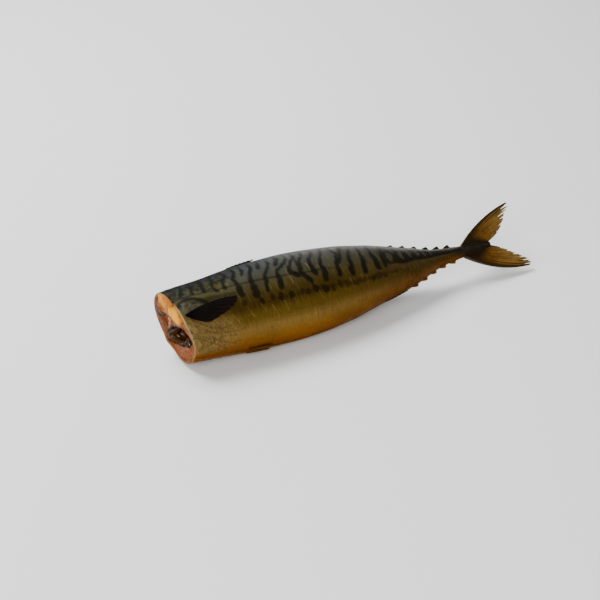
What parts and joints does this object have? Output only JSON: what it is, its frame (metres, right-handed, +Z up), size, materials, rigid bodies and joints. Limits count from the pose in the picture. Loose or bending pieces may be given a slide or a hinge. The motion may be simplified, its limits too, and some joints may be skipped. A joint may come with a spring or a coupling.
{
  "type": "smoked fish",
  "caption": "Hot-smoked mackerel, headed and gutted, lying half on its flank, with an open belly at the cut, folded fins, finlets and a forked tail.",
  "frame": {"origin": "on the resting level, under the middle of the whole fish's box", "axes": "+X from the cut end to the tail, +Z up, +Y to the side that the back leans to; the left flank faces -Y and up"},
  "size_m": [0.3192, 0.0604, 0.0571],
  "materials": {
    "skin": "oily smoked skin, satin to gloss",
    "tail_fin": "dried fin rays, satin",
    "dark_fin": "dried dark fin, satin",
    "belly_fin": "dried amber fin, satin"
  },
  "bodies": {
    "root": {"body": "skin", "tail_fin_upper_lobe": "tail_fin", "tail_fin_lower_lobe": "tail_fin", "first_dorsal_fin": "dark_fin", "second_dorsal_fin": "dark_fin", "dorsal_finlet_1": "dark_fin", "dorsal_finlet_2": "dark_fin", "dorsal_finlet_3": "dark_fin", "dorsal_finlet_4": "dark_fin", "dorsal_finlet_5": "dark_fin", "dorsal_finlet_6": "dark_fin", "anal_fin": "belly_fin", "anal_finlet_1": "belly_fin", "anal_finlet_2": "belly_fin", "anal_finlet_3": "belly_fin", "anal_finlet_4": "belly_fin", "anal_finlet_5": "belly_fin", "pectoral_fin_left": "dark_fin", "pectoral_fin_right": "dark_fin", "pelvic_fin_left": "belly_fin", "pelvic_fin_right": "belly_fin"}
  },
  "joints": []
}
